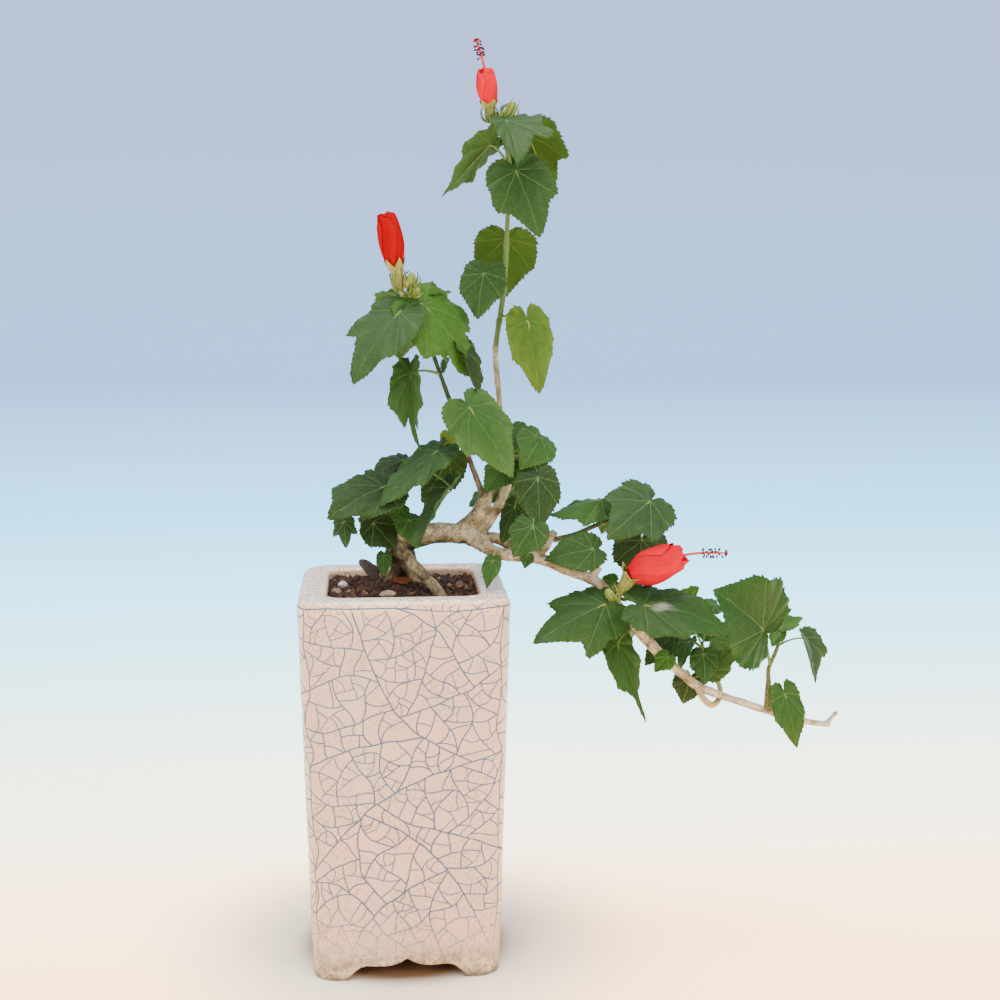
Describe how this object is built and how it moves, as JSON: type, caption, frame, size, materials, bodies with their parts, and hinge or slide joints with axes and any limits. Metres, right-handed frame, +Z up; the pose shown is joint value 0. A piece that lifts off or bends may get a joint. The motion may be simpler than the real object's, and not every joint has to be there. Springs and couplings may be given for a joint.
{
  "type": "turks cap bonsai",
  "caption": "Turk's cap mallow bonsai with a drooping cascade branch and red furled flowers, in a tall square crackle-glazed pot.",
  "frame": {"origin": "on the surface that the pot stands on, below the middle of the whole plant's box; the pot's own middle lies 86.5 mm from it toward -X", "axes": "+Z up; +X toward the side that the cascade branch hangs to; -Y the show side, which one face of the pot looks to"},
  "size_m": [0.2727, 0.1, 0.4457],
  "materials": {
    "crackle_glaze": "satin crackle glaze",
    "potting_soil": "granular, matt",
    "bark": "thin tan bark, matt",
    "foliage": "leaf green, soft sheen",
    "flower": "coral red petals, soft sheen"
  },
  "bodies": {
    "root": {"bough_back": "bark", "bough_cascade_inner": "bark", "bough_cascade_outer": "bark", "bough_upright": "bark", "flower_left": "flower", "flower_right": "flower", "flower_top": "flower", "leaf_back_low": "foliage", "leaf_back_mid": "foliage", "leaf_below": "foliage", "leaf_bough_front": "foliage", "leaf_calyx": "foliage", "leaf_drip": "foliage", "leaf_fork": "foliage", "leaf_heart": "foliage", "leaf_left_bud": "foliage", "leaf_left_hanging": "foliage", "leaf_silver": "foliage", "leaf_star": "foliage", "leaf_stem_behind": "foliage", "leaf_stem_curled": "foliage", "leaf_stem_pale": "foliage", "leaf_trunk_foot": "foliage", "leaf_under": "foliage", "leaf_wrap": "foliage", "leaf_yellow_bud": "foliage", "leaves_back_twig": "foliage", "leaves_centre": "foliage", "leaves_end": "foliage", "leaves_hook": "foliage", "leaves_left_crown": "foliage", "leaves_low_left": "foliage", "leaves_top": "foliage", "pot": "crackle_glaze", "soil": "potting_soil", "stem_left": "bark", "stem_top": "bark", "trunk": "bark"}
  },
  "joints": []
}
